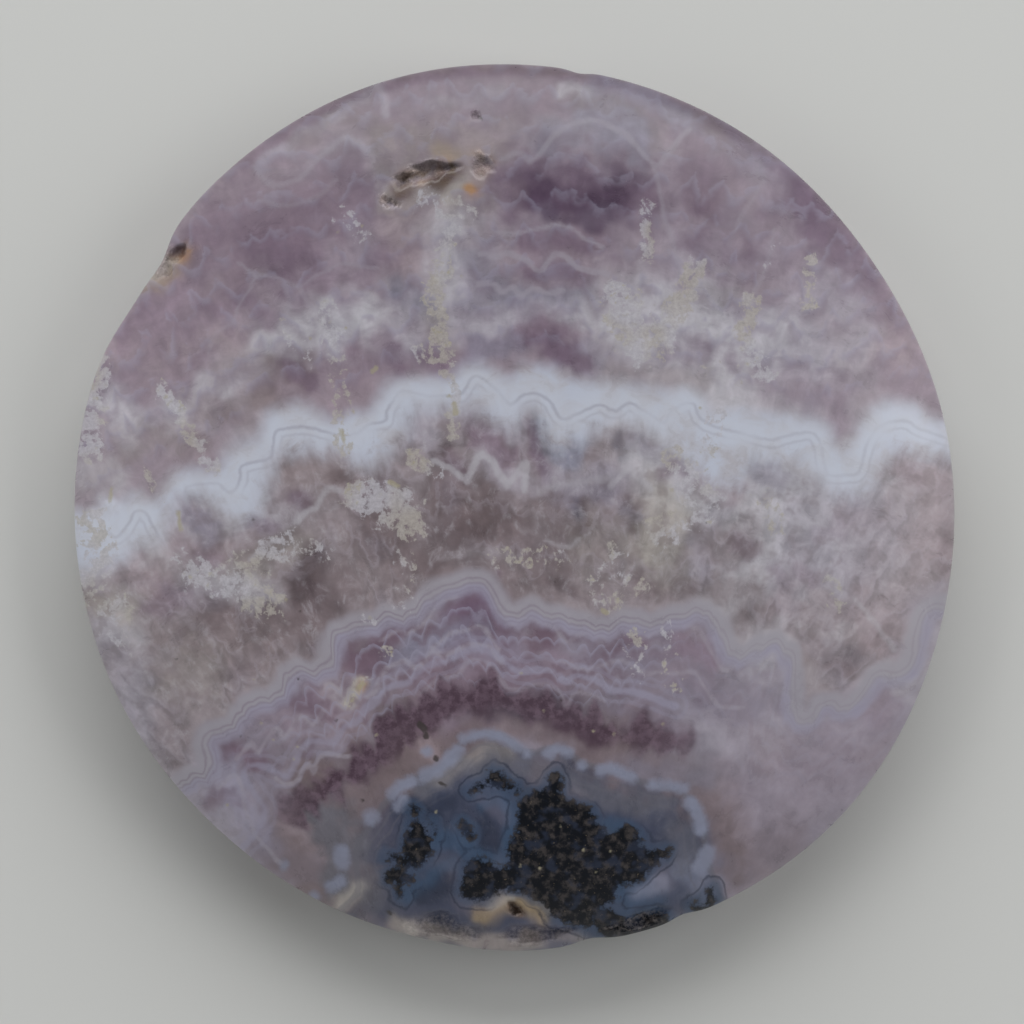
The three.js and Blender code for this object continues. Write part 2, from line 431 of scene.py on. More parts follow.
# Soft brush strokes of colour: tone, half-width in pixels, strength, and the line that each follows.
STROKES = [
    # pale and dark washes under the rest
    *drawn("""
milk 50 1 700,440 800,480 880,490
milk 56 1 740,560 800,540 860,560
milk 28 0.8 600,390 680,390 760,374 840,370
pale_lilac 40 0.9 650,320 720,320 800,340
milk 46 0.9 790,620 850,630 890,650
pale_lilac 30 0.6 400,180 460,230 450,290
mauve 18 0.8 400,88 500,80 600,88 680,108
pale_lilac 28 0.8 190,790 230,826
umber 36 1 330,760 330,800 340,836 334,880
umber 26 0.8 390,766 430,740
umber 22 0.8 370,800 420,748 480,724 560,736 640,760 700,800 724,860
umber 26 0.8 400,720 460,696 560,700 640,726
mauve 30 0.6 440,670 560,670 680,700
pale_lilac 22 0.7 110,404 160,424 230,404
pale_lilac 24 0.6 300,350 340,330
"""),
    # the rim at the top
    *drawn("""
mauve 26 0.7 262,150 330,108 420,84 520,82 620,92 720,130 800,190
umber 4 0.5 330,100 420,74 520,68 620,82 720,122 800,176 860,240
plum 5 0.6 600,82 680,104 740,134
violet_grey 15 0.6 690,122 740,146 790,190
ice 6 0.5 756,164 768,176
mauve 12 0.5 378,134 410,126 452,128
umber 11 0.45 494,118 516,108 530,104
umber 12 0.45 590,108 622,112 644,130
lilac 9 0.4 400,100 450,92 510,88
pale_lilac 5 0.7 262,162 276,150 292,148 302,132 318,130 330,118
pale_lilac 5 0.6 262,168 290,176 318,160 345,142 366,150 384,172
mauve 20 0.8 350,112 420,100 480,96 540,96 600,104
umber 9 0.5 296,146 310,138
umber 8 0.5 320,126 350,118
umber 9 0.6 376,134 392,130 408,136
pale_lilac 5 0.6 334,122 348,106 366,100 380,84 388,112
pale_lilac 6 0.4 428,104 470,100 500,88
umber 9 0.6 580,104 604,104 626,116 650,138
umber 8 0.6 664,118 690,114 716,128 730,146
milk 7 0.6 562,90 576,86 588,92
violet_grey 12 0.7 600,88 640,96 680,112
violet_grey 14 0.7 560,132 590,122 630,134
mauve 22 0.6 700,146 740,160 770,190
umber 16 0.5 690,176 716,190 730,200
plum 18 0.6 790,200 812,232 836,270
mauve 20 0.5 280,176 320,180
plum 18 0.4 250,236 280,226
plum 14 0.5 196,244 214,236
mauve 30 0.5 820,290 860,310
"""),
    # purple at the upper left
    *drawn("""
plum 26 0.85 240,236 270,228 296,248
plum 16 0.5 250,258 236,280
mauve 34 0.7 200,260 240,220 300,200
mauve 26 0.7 300,216 330,206
plum 17 0.6 342,164 360,184 372,196
mauve 26 0.4 110,340 150,330 200,290
rose 20 0.5 120,350 170,352 220,344
lilac 24 0.6 300,290 350,262 392,250
mauve 18 0.6 300,270 350,290 384,270
mauve 20 0.6 150,300 215,262
plum 12 0.45 210,310 240,300 262,312 282,320
plum 10 0.3 100,384 140,366
mauve 14 0.5 130,390 170,380 200,366
milk 20 0.6 176,408 222,380 262,350
milk 24 0.8 280,346 320,322 350,330
milk 24 0.6 352,330 380,310 404,330
umber 22 0.75 262,402 276,378 300,374
plum 10 0.6 290,366 312,384
fawn 15 0.7 120,440 160,434 200,446
umber 11 0.6 128,450 112,470 96,486
milk 14 0.5 108,404 126,420 120,440
fawn 14 0.6 204,410 240,412 262,406
umber 8 0.4 216,414 244,430
mauve 16 0.6 350,372 384,352 400,372
plum 8 0.4 388,356 398,370
fawn 16 0.5 226,366 250,376
milk 12 0.4 236,448 262,430
mauve 24 0.6 140,336 180,322
"""),
    # the open vug, the smaller hollows beside it, and the moss column below it
    *drawn("""
chalk 24 0.5 400,200 425,190 470,200
fawn 20 0.7 390,150 440,142 486,150
cream 12 0.6 396,196 420,198 452,190 462,170
sand 9 0.6 440,148 456,160
pit_dark 9 1 402,182 416,174 434,172 449,164
brown 8 1 434,180 448,175 456,168
brown 7 0.9 400,188 408,187
pit_dark 9 0.8 477,158 486,166 482,174
pit_dark 4 0.8 384,199 395,205
rust 6 0.9 469,190 475,193
rose 24 0.6 392,226 416,246 410,276
mauve 12 0.5 380,250 372,290
milk 19 0.75 446,226 454,250 444,300
rose 14 0.5 408,200 430,214
sky_grey 13 0.9 400,290 414,300 424,308
slate 5 0.4 396,294 410,306 424,302
pale_lilac 20 0.6 400,330 430,320 470,330
chalk 12 0.5 436,320 446,345
plum 12 0.7 420,352 436,358
mauve 12 0.6 446,366 470,352
sky_grey 14 0.6 476,262 490,282 478,300
"""),
    # the dark purple in the upper middle and the wavy bands below it
    *drawn("""
violet_grey 20 0.9 556,142 590,130 630,146
plum 26 0.9 524,182 590,184 652,192
grape 21 1 536,196 580,204 612,198
plum 16 0.6 498,186 508,212
plum 13 0.7 650,196 654,222
mauve 14 0.6 520,242 560,240 610,238
plum 9 0.7 524,272 560,268 596,282
plum 8 0.5 520,242 548,238 590,246
sky_grey 14 0.9 504,300 540,302 592,298
milk 10 0.7 480,322 540,318 600,322
pale_lilac 16 0.6 470,310 520,314 610,314
violet_grey 16 0.8 484,346 510,342
plum 16 0.9 534,334 552,346 578,368
violet_grey 11 0.7 592,350 606,362
mauve 9 0.6 520,330 544,326 570,336
"""),
    # mauve at the upper right, and its pale clouds
    *drawn("""
mauve 36 0.8 700,176 740,230
plum 30 0.65 684,186 720,196
plum 26 0.7 790,196 830,240 850,280
mauve 26 0.5 850,290 876,320
lilac 26 0.7 690,262 740,256 770,250
plum 11 0.5 684,248 704,244
plum 11 0.5 724,252 750,246
lilac 16 0.6 662,160 672,200 668,240
lilac 16 0.5 764,186 744,214 724,244
milk 32 0.75 620,320 650,326 690,318
milk 26 0.7 720,350 766,350 810,330
umber 10 0.3 700,296 740,292
plum 8 0.6 664,352 674,346
plum 8 0.7 702,346 706,360
plum 7 0.6 728,360 734,370
plum 6 0.5 690,348 688,360
mauve 13 0.6 816,324 824,314
rose 24 0.5 846,350 900,350
plum 12 0.65 796,390 818,396
mauve 16 0.7 770,384 800,378 830,390
mauve 14 0.6 852,384 880,372 905,384
mauve 10 0.75 838,400 841,424
fawn 13 0.6 614,370 660,376 700,380
umber 6 0.4 620,372 640,366
pale_lilac 26 0.6 810,350 840,330 820,290
"""),
    # under the white band, on the left
    *drawn("""
milk 16 0.6 84,470 104,480
umber 22 0.5 376,540 400,530 420,548
umber 22 0.5 330,650 350,640 320,600
frost 18 0.8 88,530 104,522
frost 20 0.7 92,556 124,560
milk 26 0.6 150,530 200,540
violet_grey 16 0.7 196,512 214,524 210,540
milk 20 0.6 242,500 256,520
rose 18 0.8 122,570 150,585
rose 14 0.8 182,546 214,552 250,545
mauve 10 0.5 200,556 240,560
fawn 18 0.85 292,466 318,474 345,490
umber 9 0.7 334,474 354,484
claret 8 0.7 294,496 302,500
claret 8 0.75 256,524 270,530
umber 8 0.6 94,600 104,598
cream 15 0.5 112,604 124,610
mauve 12 0.6 150,608 184,592
milk 17 0.7 200,584 240,582 262,600
chalk 20 0.7 246,560 290,552
soot 15 0.85 312,566 304,588
soot 11 0.6 332,606 300,602
umber 20 0.8 210,612 250,626 300,626
soot 10 0.4 246,606 262,610
fawn 18 0.5 350,545 384,590 400,560
umber 14 0.6 340,576 352,590
umber 16 0.6 380,520 400,548 424,566
soot 7 0.5 378,486 384,478
fawn 24 0.7 170,650 220,652 262,650
chalk 26 0.5 130,690 170,676 210,676
pale_lilac 26 0.7 94,640 112,670 140,720
pale_lilac 20 0.6 110,680 150,750
milk 12 0.5 110,626 130,636
"""),
    # the crystals under the white band, in the middle
    *drawn("""
pale_lilac 16 0.8 424,420 420,440
pale_lilac 18 0.8 466,412 490,408 512,424
mauve 13 0.85 478,434 494,442 510,456
soot 6 0.75 434,456 446,450
claret 9 0.75 450,464 462,474
pale_lilac 12 0.7 486,462 504,474 520,480
umber 22 0.95 446,502 470,526 488,500
umber 20 0.9 490,500 512,520
soot 14 0.5 440,534 480,540
soot 12 0.5 524,548 560,556
plum 7 0.75 532,428 536,452 546,476
slate 7 0.5 540,420 548,446
periwinkle 11 0.7 558,452 566,462 574,446
slate 8 0.5 618,438 624,456
violet_grey 12 0.6 640,440 650,456
soot 8 0.9 580,510 586,530
slate 5 0.5 574,502 580,520
soot 8 0.85 630,508 634,524
slate 6 0.5 622,514 640,518
violet_grey 16 0.6 560,496 600,490 620,494
umber 18 0.6 540,500 560,520 570,556
umber 17 0.7 708,528 726,552 744,548
claret 9 0.4 740,540 750,556
violet_grey 14 0.5 690,556 704,570
soot 8 0.65 556,582 574,590
umber 13 0.6 640,586 660,592
umber 14 0.6 684,582 720,588 748,594
umber 22 0.6 440,576 500,588 540,580
chalk 22 0.6 600,550 650,550 670,566
milk 20 0.8 640,466 680,486 706,500
cream 20 0.6 656,496 680,516 650,540
claret 6 0.6 664,474 676,464 686,472
rose 12 0.7 704,476 730,490
violet_grey 15 0.6 750,468 780,474
pale_lilac 14 0.5 540,480 600,478 640,484
"""),
    # the right, under the white band
    *drawn("""
rose 20 0.6 884,456 930,476
claret 11 0.45 896,474 914,484
plum 9 0.5 818,538 842,532
mauve 10 0.55 838,517 872,518
rose 26 0.6 925,520 934,560
pale_lilac 26 0.75 800,560 850,570 880,530
mauve 8 0.45 774,570 786,586
mauve 8 0.45 798,574 812,582
pale_lilac 20 0.6 820,480 850,500 800,510
fawn 20 0.8 806,650 840,660 870,640
umber 12 0.55 842,672 870,658 888,640
umber 11 0.6 740,622 768,610
rose 22 0.6 790,610 840,610
rose 22 0.6 870,600 905,640
pale_lilac 18 0.8 920,610 934,650
"""),
    # inside the lace
    *drawn("""
claret 15 1 346,656 366,660 386,652
claret 9 0.8 356,676 346,668
claret 14 1 288,708 308,700 326,706
lilac 15 0.7 256,712 280,720
mauve 20 0.6 324,690 350,712
claret 12 0.9 222,752 240,754 258,758
claret 9 0.75 206,800 220,796 236,802
plum 18 1 466,618 482,604 494,624
claret 10 1 496,634 508,650
claret 9 0.9 402,628 392,634
claret 8 0.9 422,636 430,630 436,636
claret 10 0.95 532,640 540,632 548,638
claret 9 0.75 604,654 624,644 640,646
mauve 14 0.7 684,648 706,652
sky_grey 26 0.6 600,680 640,692 680,700
violet_grey 16 0.6 420,650 450,640 520,660
mauve 30 0.5 440,690 520,690 580,700
periwinkle 12 0.35 400,660 440,640 474,640
pale_lilac 26 0.75 700,730 740,746 770,740
pale_lilac 32 0.5 790,740 820,750 850,720 800,790
rose 18 0.4 720,780 742,830
mauve 14 0.5 888,700 874,716
sky_grey 14 0.6 640,770 700,780
violet_grey 10 0.6 316,752 332,748
milk 10 0.5 330,690 340,700
umber 26 0.9 280,846 300,866 330,876 320,890
rose 14 0.7 298,826 330,832 326,846
lace_lilac 18 0.6 220,780 236,806 262,836
lilac 18 0.6 300,720 330,734
lilac 22 0.5 800,770 840,760 790,810
umber 20 0.4 736,872 770,850 790,836
core_grey 20 0.9 328,812 338,830 348,850 340,876
"""),
    # the wine arc's darkest crystals
    *drawn("""
wine 14 0.8 480,702 520,708 550,714 590,732
wine 11 0.9 476,698 494,706 520,706
wine 10 0.9 548,704 560,718 566,728
wine 8 0.9 584,728 596,734 610,736
wine 9 0.7 640,722 646,734
wine 10 0.7 396,716 410,712
wine 12 0.7 362,758 372,764
claret 9 0.7 658,738 686,738
"""),
    # the core
    *drawn("""
chalk 8 0.75 424,790 440,778 458,766 480,752 506,756
core_grey 12 0.6 420,786 470,764 520,770 600,790 660,806
slate 16 0.6 372,850 388,820 430,800
blue_ink 12 0.5 400,810 450,806
steel 7 0.9 408,898 434,878 454,862
steel 9 0.8 434,848 448,838 476,850 500,858
steel 6 0.9 507,846 513,822 500,800 486,808
blue_ink 10 0.6 424,900 446,886
blue_ink 9 0.6 488,826 496,840
steel 9 0.9 612,824 622,828
steel 13 0.8 622,896 656,900
slate 16 0.8 660,880 690,880 690,850
periwinkle 8 0.6 642,890 664,884
periwinkle 12 0.5 688,870 706,886
core_grey 14 0.5 680,836 690,858
core_grey 13 0.6 372,884 376,904
blue_ink 9 0.7 560,870 572,882
blue_ink 10 0.7 486,872 476,890
blue_ink 14 0.7 584,910 620,926
ink_brown 10 0.8 530,800 560,806 580,816
ink_brown 10 0.7 590,830 630,842 640,866
ink_brown 8 0.7 520,850 540,862
"""),
    # the matrix at the lower edge
    *drawn("""
cream 9 0.7 344,900 356,892
sand 10 1 484,912 506,900 530,904 544,914
cream 5 0.7 492,904 510,897
chalk 9 1 400,926 440,936 490,942 540,944
cream 4 0.6 406,926 414,930
brown 5 0.8 512,906 520,912
crust_dark 6 0.8 524,936 538,940
chalk 6 0.6 560,938 580,940
cream 7 0.9 348,704 358,686
rust 4 0.6 360,690 362,684
rose 10 0.7 430,746 424,740
"""),
    # the notch
    *drawn("""
rust 9 0.75 174,262 184,256
sand 11 0.6 150,284 172,276
cream 8 0.6 152,274 168,264
"""),
    # the ledge at the lower edge
    *drawn("""
blue_ink 9 0.9 600,934 630,928 660,914
umber 4 0.6 606,940 640,934 664,922
"""),
    # last washes
    *drawn("""
milk 60 0.22 650,320 740,370 820,440
rose 26 0.4 908,480 912,560 900,640
core_grey 16 0.4 500,706 545,700 600,706
core_grey 20 0.35 690,752 716,778
rose 40 0.25 880,500 890,600
plum 12 0.35 460,640 500,634
lilac 36 0.35 750,770 830,750 880,700
wine 12 0.3 500,700 580,704
"""),
]


# Shape

def swell(direction):
    """How far the outline leaves the circle in a direction given in degrees."""
    out = np.zeros_like(direction)
    for middle, spread, reach in OUTLINE_SWELLS:
        apart = (direction - middle + 180) % 360 - 180
        out += reach * np.exp(-((apart / spread) ** 2))
    return out


def outward_shift(x, y):
    share = np.hypot(x, y) / (DIAMETER / 2)
    return swell(np.degrees(np.arctan2(y, x))) * share ** SWELL_REACH


def dome_height(share):
    rise = HEIGHT - GIRDLE
    return GIRDLE + rise * (1 - np.clip(share, 0, 1) ** DOME_ROUND) ** DOME_EDGE


def face_height(x, y):
    """Height of the face over a point of the back."""
    radius = np.hypot(x, y) - outward_shift(x, y)
    return dome_height(radius / (DIAMETER / 2))


def disc_points(rings):
    """Points of a disc of radius 1, ring by ring from the middle, six more on each ring."""
    points = [np.zeros((1, 2))]
    for ring in range(1, rings + 1):
        angles = np.arange(6 * ring) * (2 * np.pi / (6 * ring))
        points.append(np.column_stack([np.cos(angles), np.sin(angles)]) * ring / rings)
    return np.concatenate(points)


def zip_rings(inner_start, inner_count, outer_start, outer_count):
    """Triangles between two rings that begin at the same angle, with any counts of points."""
    faces = []
    inner = 0
    outer = 0
    while inner < inner_count or outer < outer_count:
        a = inner_start + inner % inner_count
        b = outer_start + outer % outer_count
        if outer < outer_count and (outer + 0.5) * inner_count <= (inner + 0.5) * outer_count:
            faces.append((a, b, outer_start + (outer + 1) % outer_count))
            outer += 1
        else:
            faces.append((a, b, inner_start + (inner + 1) % inner_count))
            inner += 1
    return faces


def disc_faces(rings, start):
    """Triangles of a disc whose points begin at start, and the first point of its last ring."""
    faces = [(start, start + 1 + i, start + 1 + (i + 1) % 6) for i in range(6)]
    ring_start = start + 1
    for ring in range(1, rings):
        next_start = ring_start + 6 * ring
        faces += zip_rings(ring_start, 6 * ring, next_start, 6 * ring + 6)
        ring_start = next_start
    return faces, ring_start


def spread_rings(disc):
    """Draws the rings of a disc out towards its edge, where the dome is steep."""
    share = np.hypot(*disc.T)
    outer = share * (1 + RIM_CROWDING) - RIM_CROWDING * share ** RIM_CROWDING_REACH
    return disc * (outer / np.maximum(share, 1e-9))[:, None]


def crowd(points):
    """Draws the points of the face in towards the hollows."""
    points = points.copy()
    for middle, reach, pull in CROWDS:
        away = points - np.array(middle)
        near = np.exp(-(away ** 2).sum(1) / reach ** 2)
        edge = np.clip((DIAMETER / 2 - np.hypot(*points.T)) / CROWD_EDGE, 0, 1)
        points -= away * (pull * near * edge)[:, None]
    return points


def push_out(points):
    """Moves points of the perfectly round stone out to its real outline."""
    radius = np.maximum(np.hypot(points[:, 0], points[:, 1]), 1e-6)
    stretch = 1 + outward_shift(points[:, 0], points[:, 1]) / radius
    return np.column_stack([points[:, :2] * stretch[:, None], points[:, 2]])


def stone_mesh():
    """Points in millimetres, triangles, which part each is of, and the face's points as a flat disc."""
    disc = disc_points(FACE_RINGS)
    flat = crowd(spread_rings(disc) * DIAMETER / 2)
    face_points = np.column_stack([flat, dome_height(np.hypot(*flat.T) / (DIAMETER / 2))])
    faces, rim = disc_faces(FACE_RINGS, 0)
    parts = ["face"] * len(faces)

    count = 6 * FACE_RINGS
    turns = np.arange(count) * (2 * np.pi / count)
    circle = np.column_stack([np.cos(turns), np.sin(turns)])
    side_points = []
    start = len(face_points)
    for step in range(1, SIDE_RINGS + 1):
        turn = (1 - step / SIDE_RINGS) * np.pi / 2
        radius = DIAMETER / 2 - TUCK * (1 - np.sin(turn))
        height = GIRDLE * (1 - np.cos(turn))
        side_points.append(np.column_stack([circle * radius, np.full(count, height)]))
        faces += zip_rings(rim, count, start, count)
        rim = start
        start += count
    parts += ["side"] * (len(faces) - len(parts))

    back_flat = disc_points(BACK_RINGS - 1) * (DIAMETER / 2 - TUCK) * (BACK_RINGS - 1) / BACK_RINGS
    back_points = np.column_stack([back_flat, np.zeros(len(back_flat))])
    back_faces, back_rim = disc_faces(BACK_RINGS - 1, start)
    faces += [(a, c, b) for a, b, c in back_faces]
    faces += [(a, c, b) for a, b, c in zip_rings(back_rim, 6 * (BACK_RINGS - 1), rim, count)]
    parts += ["back"] * (len(faces) - len(parts))

    points = push_out(np.concatenate([face_points] + side_points + [back_points]))
    return points, np.array(faces), np.array(parts), disc


def hollow_share(points, hollow):
    """How deep each point lies in a hollow, from 0 outside to 1 at its middle."""
    middle, size, turn, _ = hollow
    away = points[:, :2] - np.array(middle)
    turn = np.radians(turn)
    along = (away[:, 0] * np.cos(turn) + away[:, 1] * np.sin(turn)) / size[0]
    across = (away[:, 1] * np.cos(turn) - away[:, 0] * np.sin(turn)) / size[1]
    angle = np.arctan2(across, along)
    x, y = middle
    waves = np.sin(3 * angle + x) + 0.7 * np.sin(5 * angle + y) + 0.5 * np.sin(7 * angle - x)
    reach = np.hypot(along, across) / (1 + HOLLOW_LUMPS * waves)
    return np.clip(1 - reach ** 2, 0, 1) ** HOLLOW_WALL


def carve(points):
    """Sinks the hollows into the face. Returns the points and how deep each lies in a hollow."""
    points = points.copy()
    on_face = points[:, 2] >= GIRDLE
    sunk = np.zeros(len(points))
    for hollow in HOLLOWS:
        share = hollow_share(points, hollow) * on_face
        x, y = np.array(hollow[0])[:, None]
        floor = face_height(x, y) - hollow[3] * share
        lower = (share > 0) & (floor < points[:, 2])
        points[lower, 2] = floor[lower]
        sunk = np.maximum(sunk, share)
    return points, sunk


def texture_places(points, faces, parts, disc):
    """Where each triangle's corners lie on the texture: face, back and unrolled side, side by side."""
    places = np.zeros((len(points), 2))
    places[:len(disc)] = np.array(FACE_ON_TEXTURE[:2]) + disc * FACE_ON_TEXTURE[2]
    corners = places[faces]

    back = parts == "back"
    flat = points[faces[back]][:, :, :2] * np.array([-1, 1]) / (DIAMETER / 2 - TUCK + BACK_MARGIN)
    corners[back] = np.array(BACK_ON_TEXTURE[:2]) + flat * BACK_ON_TEXTURE[2]

    side = parts == "side"
    around = points[faces[side]]
    share = np.arctan2(around[:, :, 1], around[:, :, 0]) / (2 * np.pi) % 1
    share[(share.max(1) - share.min(1) > 0.5)[:, None] & (share < 0.5)] += 1
    first, length, low, high = SIDE_ON_TEXTURE
    corners[side, :, 0] = first + length * share
    corners[side, :, 1] = low + (high - low) * around[:, :, 2] / GIRDLE
    return corners.reshape(-1, 2)


# Pattern

def seen(points):
    """Where points in millimetres show in the photograph, in its pixels."""
    nearer = (CAMERA_HEIGHT - GIRDLE) / (CAMERA_HEIGHT - points[:, 2])
    across = CENTRE_PIXEL[0] + PIXELS_PER_MM * points[:, 0] * nearer
    down = CENTRE_PIXEL[1] - PIXELS_PER_MM * points[:, 1] * nearer
    return np.column_stack([across, down])


def smooth(line, closed=False, steps=4):
    """A smooth curve through the points of a line."""
    knots = np.array(line, float)
    if len(knots) < 3:
        return knots
    if closed:
        knots = np.vstack([knots[-1], knots, knots[:2]])
    else:
        knots = np.vstack([2 * knots[0] - knots[1], knots, 2 * knots[-1] - knots[-2]])
    before, start, end, after = knots[:-3], knots[1:-2], knots[2:-1], knots[3:]
    share = np.arange(steps)[:, None, None] / steps
    curve = start + 0.5 * share * (end - before)
    curve = curve + 0.5 * share ** 2 * (2 * before - 5 * start + 4 * end - after)
    curve = curve + 0.5 * share ** 3 * (3 * start - before - 3 * end + after)
    return np.vstack([curve.transpose(1, 0, 2).reshape(-1, 2), knots[-2]])


def line_distance(places, curve):
    """How far each place lies from a line."""
    if len(curve) == 1:
        return np.hypot(*(places - curve[0]).T)
    nearest = np.full(len(places), np.inf)
    for start, end in zip(curve[:-1], curve[1:]):
        run = end - start
        share = np.clip((places - start) @ run / max(run @ run, 1e-9), 0, 1)
        away = places - start - share[:, None] * run
        nearest = np.minimum(nearest, (away ** 2).sum(1))
    return np.sqrt(nearest)


def inside(places, outline):
    """Which places lie inside a closed outline."""
    across, down = places.T
    crossed = np.zeros(len(places), bool)
    for (x0, y0), (x1, y1) in zip(outline, np.roll(outline, -1, axis=0)):
        if y0 == y1:
            continue
        crosses = (y0 > down) != (y1 > down)
        crossed ^= crosses & (across < x0 + (down - y0) * (x1 - x0) / (y1 - y0))
    return crossed


def below(places, line):
    """Millimetres below a line that runs from edge to edge of the stone, negative above it."""
    curve = smooth(line)
    ends = (FAR_OFF, curve[-1][1]), (FAR_OFF, FAR_OFF), (-FAR_OFF, FAR_OFF), (-FAR_OFF, curve[0][1])
    outline = np.vstack([curve, *ends])
    sign = np.where(inside(places, outline), 1, -1)
    return sign * line_distance(places, curve) / PIXELS_PER_MM


def within(places, lines):
    """Millimetres inside the nearest of some closed outlines, negative outside them all."""
    deepest = np.full(len(places), -np.inf)
    for line in lines:
        curve = smooth(line, closed=True)
        sign = np.where(inside(places, curve), 1, -1)
        deepest = np.maximum(deepest, sign * line_distance(places, curve))
    return deepest / PIXELS_PER_MM


def dotted(places, marks):
    """Millimetres inside the nearest of some round dots or short rounded strokes, negative outside."""
    deepest = np.full(len(places), -np.inf)
    for half_width, line in marks:
        deepest = np.maximum(deepest, half_width - line_distance(places, smooth(line)))
    return deepest / PIXELS_PER_MM


def wobble(places, strength):
    """Shifts places by waves of many sizes, so that strokes painted there get uneven edges."""
    random = np.random.default_rng(WOBBLE_SEED)
    shifted = places.copy()
    for length, height in WOBBLE_WAVES:
        for _ in range(WAVES_OF_A_SIZE):
            direction = random.uniform(0, 2 * np.pi)
            facing = np.array([np.cos(direction), np.sin(direction)]) * 2 * np.pi / length
            shift = random.normal(0, height * strength / 2, 2)
            shifted += np.sin(places @ facing + random.uniform(0, 2 * np.pi))[:, None] * shift
    return shifted


def brush(places, half_width, line):
    """Which places are near a soft stroke along a line, and how strongly it marks them."""
    curve = smooth(line)
    reach = BRUSH_REACH * half_width
    low, high = curve.min(0) - reach, curve.max(0) + reach
    near = np.flatnonzero(((places > low) & (places < high)).all(1))
    away = line_distance(places[near], curve) / half_width
    return near, np.clip((1 + BRUSH_CUT) / (1 + away ** 4) - BRUSH_CUT, 0, 1)


def linear(tone):
    """A colour of the stone as light reflected, from its look from 0 to 255."""
    share = np.array(tone) / 255
    return np.where(share <= 0.04045, share / 12.92, ((share + 0.055) / 1.055) ** 2.4) * ALBEDO_GAIN


def base_tint(fields):
    """The plain colour of each zone, before any strokes."""
    tint = np.tile(linear(UPPER_ZONE), (len(fields["white_top"]), 1))
    for field, soft, tone in ZONES:
        share = np.clip(fields[field] / soft + 0.5, 0, 1)[:, None]
        tint += (linear(tone) - tint) * share
    return tint


def painted(places, fields):
    """The colour of each point with the strokes painted over its zone's colour."""
    tint = base_tint(fields)
    shift = wobble(places, 1.0) - places
    for tone, half_width, strength, line in STROKES:
        uneven = places + shift * min(half_width / BROAD_STROKE, 1)
        near, share = brush(uneven, half_width, line)
        tint[near] += (linear(TONES[tone]) - tint[near]) * (share * strength)[:, None]
    return tint


def covered(places, strokes):
    """How strongly any of some strokes covers each point."""
    cover = np.zeros(len(places))
    for half_width, strength, line in strokes:
        near, share = brush(places, half_width, line)
        cover[near] = np.maximum(cover[near], share * strength)
    return cover


def light_on(points):
    """How bright the window's light is on each part of the dome, 1 in the middle."""
    right, far = points[:, 0] * 2 / DIAMETER, points[:, 1] * 2 / DIAMETER
    return 1 + FAR_SLOPE_LIGHT * far + FAR_EDGE_LIGHT * np.maximum(far, 0) ** 3 + RIGHT_SLOPE_LIGHT * right


def pattern_fields(places):
    """The values at each point from which the material draws the pattern."""
    return {
        "white_top": below(places, WHITE_TOP),
        "white_line": below(places, WHITE_LINE),
        "white_low": below(places, WHITE_LOW),
        "lace_line": below(places, LACE_LINE),
        "second_lace": line_distance(places, smooth(SECOND_LACE)) / PIXELS_PER_MM,
        "wine_arc": within(wobble(places, 0.2), [WINE_ARC]),
        "core": within(places, [CORE]),
        "bead": dotted(places, BEADS),
        "spot": dotted(wobble(places, 0.12), SPOTS),
        "glint": dotted(places, GLINTS),
        "ink": within(wobble(places, 0.15), INK),
        "moss": covered(wobble(places, 0.4), MOSS),
        "vein": covered(wobble(places, 0.15), VEINS),
    }


def store(mesh, name, values):
    """Stores a number or three for each point of the mesh."""
    kind, entry = ("FLOAT", "value") if values.ndim == 1 else ("FLOAT_VECTOR", "vector")
    layer = mesh.attributes.new(name, kind, "POINT")
    layer.data.foreach_set(entry, values.astype(np.float32).ravel())


def make_stone():
    points, faces, parts, disc = stone_mesh()
    points, sunk = carve(points)
    corners = texture_places(points, faces, parts, disc)
    depth = np.maximum(face_height(*points[:, :2].T) - points[:, 2], 0)
    points[:, :2] -= (points.min(0) + points.max(0))[:2] / 2
    points[:, :2] *= TRIM

    mesh = bpy.data.meshes.new("polished_stone")
    mesh.from_pydata((points * MM).tolist(), [], faces.tolist())
    mesh.shade_smooth()
    mesh.uv_layers.new(name="OFBake").data.foreach_set("uv", corners.astype(np.float32).ravel())

    buried = depth * (sunk == 0)
    lifted = points + np.column_stack([LEAN[0] * buried, LEAN[1] * buried, depth])
    places = seen(lifted)
    fields = pattern_fields(places)
    tint = painted(places, fields)
    plan = np.column_stack([lifted[:, :2], depth * DEPTH_IN_NOISE])
    others = {"tint": tint, "light": light_on(lifted), "plan": plan, "sunk": sunk, "buried": buried}
    for name, values in {**fields, **others}.items():
        store(mesh, name, values)

    stone = bpy.data.objects.new("polished_stone", mesh)
    bpy.context.scene.collection.objects.link(stone)
    return stone


# Material

